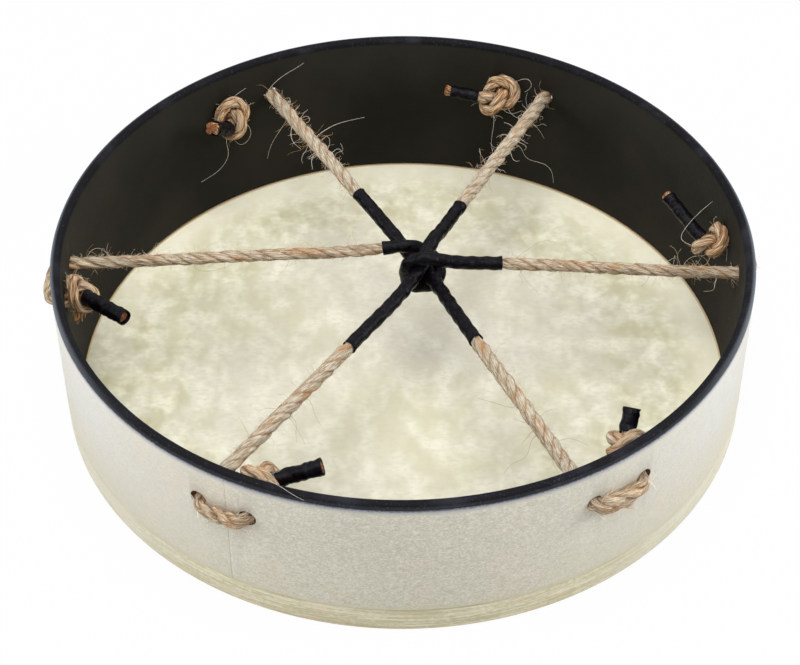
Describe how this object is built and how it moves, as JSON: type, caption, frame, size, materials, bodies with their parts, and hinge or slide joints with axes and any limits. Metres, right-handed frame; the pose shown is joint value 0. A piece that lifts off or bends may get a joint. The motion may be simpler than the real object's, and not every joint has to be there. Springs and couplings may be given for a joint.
{
  "type": "buffalo drum",
  "caption": "Shallow round frame drum with a film head, black fibre hoop in a pale wrap, and a knotted rope handle with black grip sleeves crossing its open back.",
  "frame": {"origin": "centre of the head's outer face, the face the drum lies on with its open back up", "axes": "+Z along the drum's axis from the head towards the open back; +X towards the right arm's hole; -Y towards the viewer of the picture"},
  "size_m": [0.3701, 0.3556, 0.0889],
  "materials": {
    "pressed_fibre": "matte black inside, satin black lip",
    "pebbled_sheet": "fine pebbled matte",
    "fibre_film": "cloudy fibre film, satin",
    "laid_rope": "fuzzy laid natural fibre",
    "shrunk_tube": "wrinkled matte black"
  },
  "bodies": {
    "root": {"shell": "pressed_fibre", "outer_wrap": "pebbled_sheet", "drumhead": "fibre_film", "rope_back_left_to_front_right": "laid_rope", "rope_back_right_to_front_left": "laid_rope", "rope_left_to_right": "laid_rope", "grip_sleeve_back_left_to_front_right": "shrunk_tube", "grip_sleeve_back_right_to_front_left": "shrunk_tube", "grip_sleeve_left_to_right": "shrunk_tube", "end_sleeve_right": "shrunk_tube", "end_sleeve_back_right": "shrunk_tube", "end_sleeve_back_left": "shrunk_tube", "end_sleeve_left": "shrunk_tube", "end_sleeve_front_left": "shrunk_tube", "end_sleeve_front_right": "shrunk_tube"}
  },
  "joints": []
}
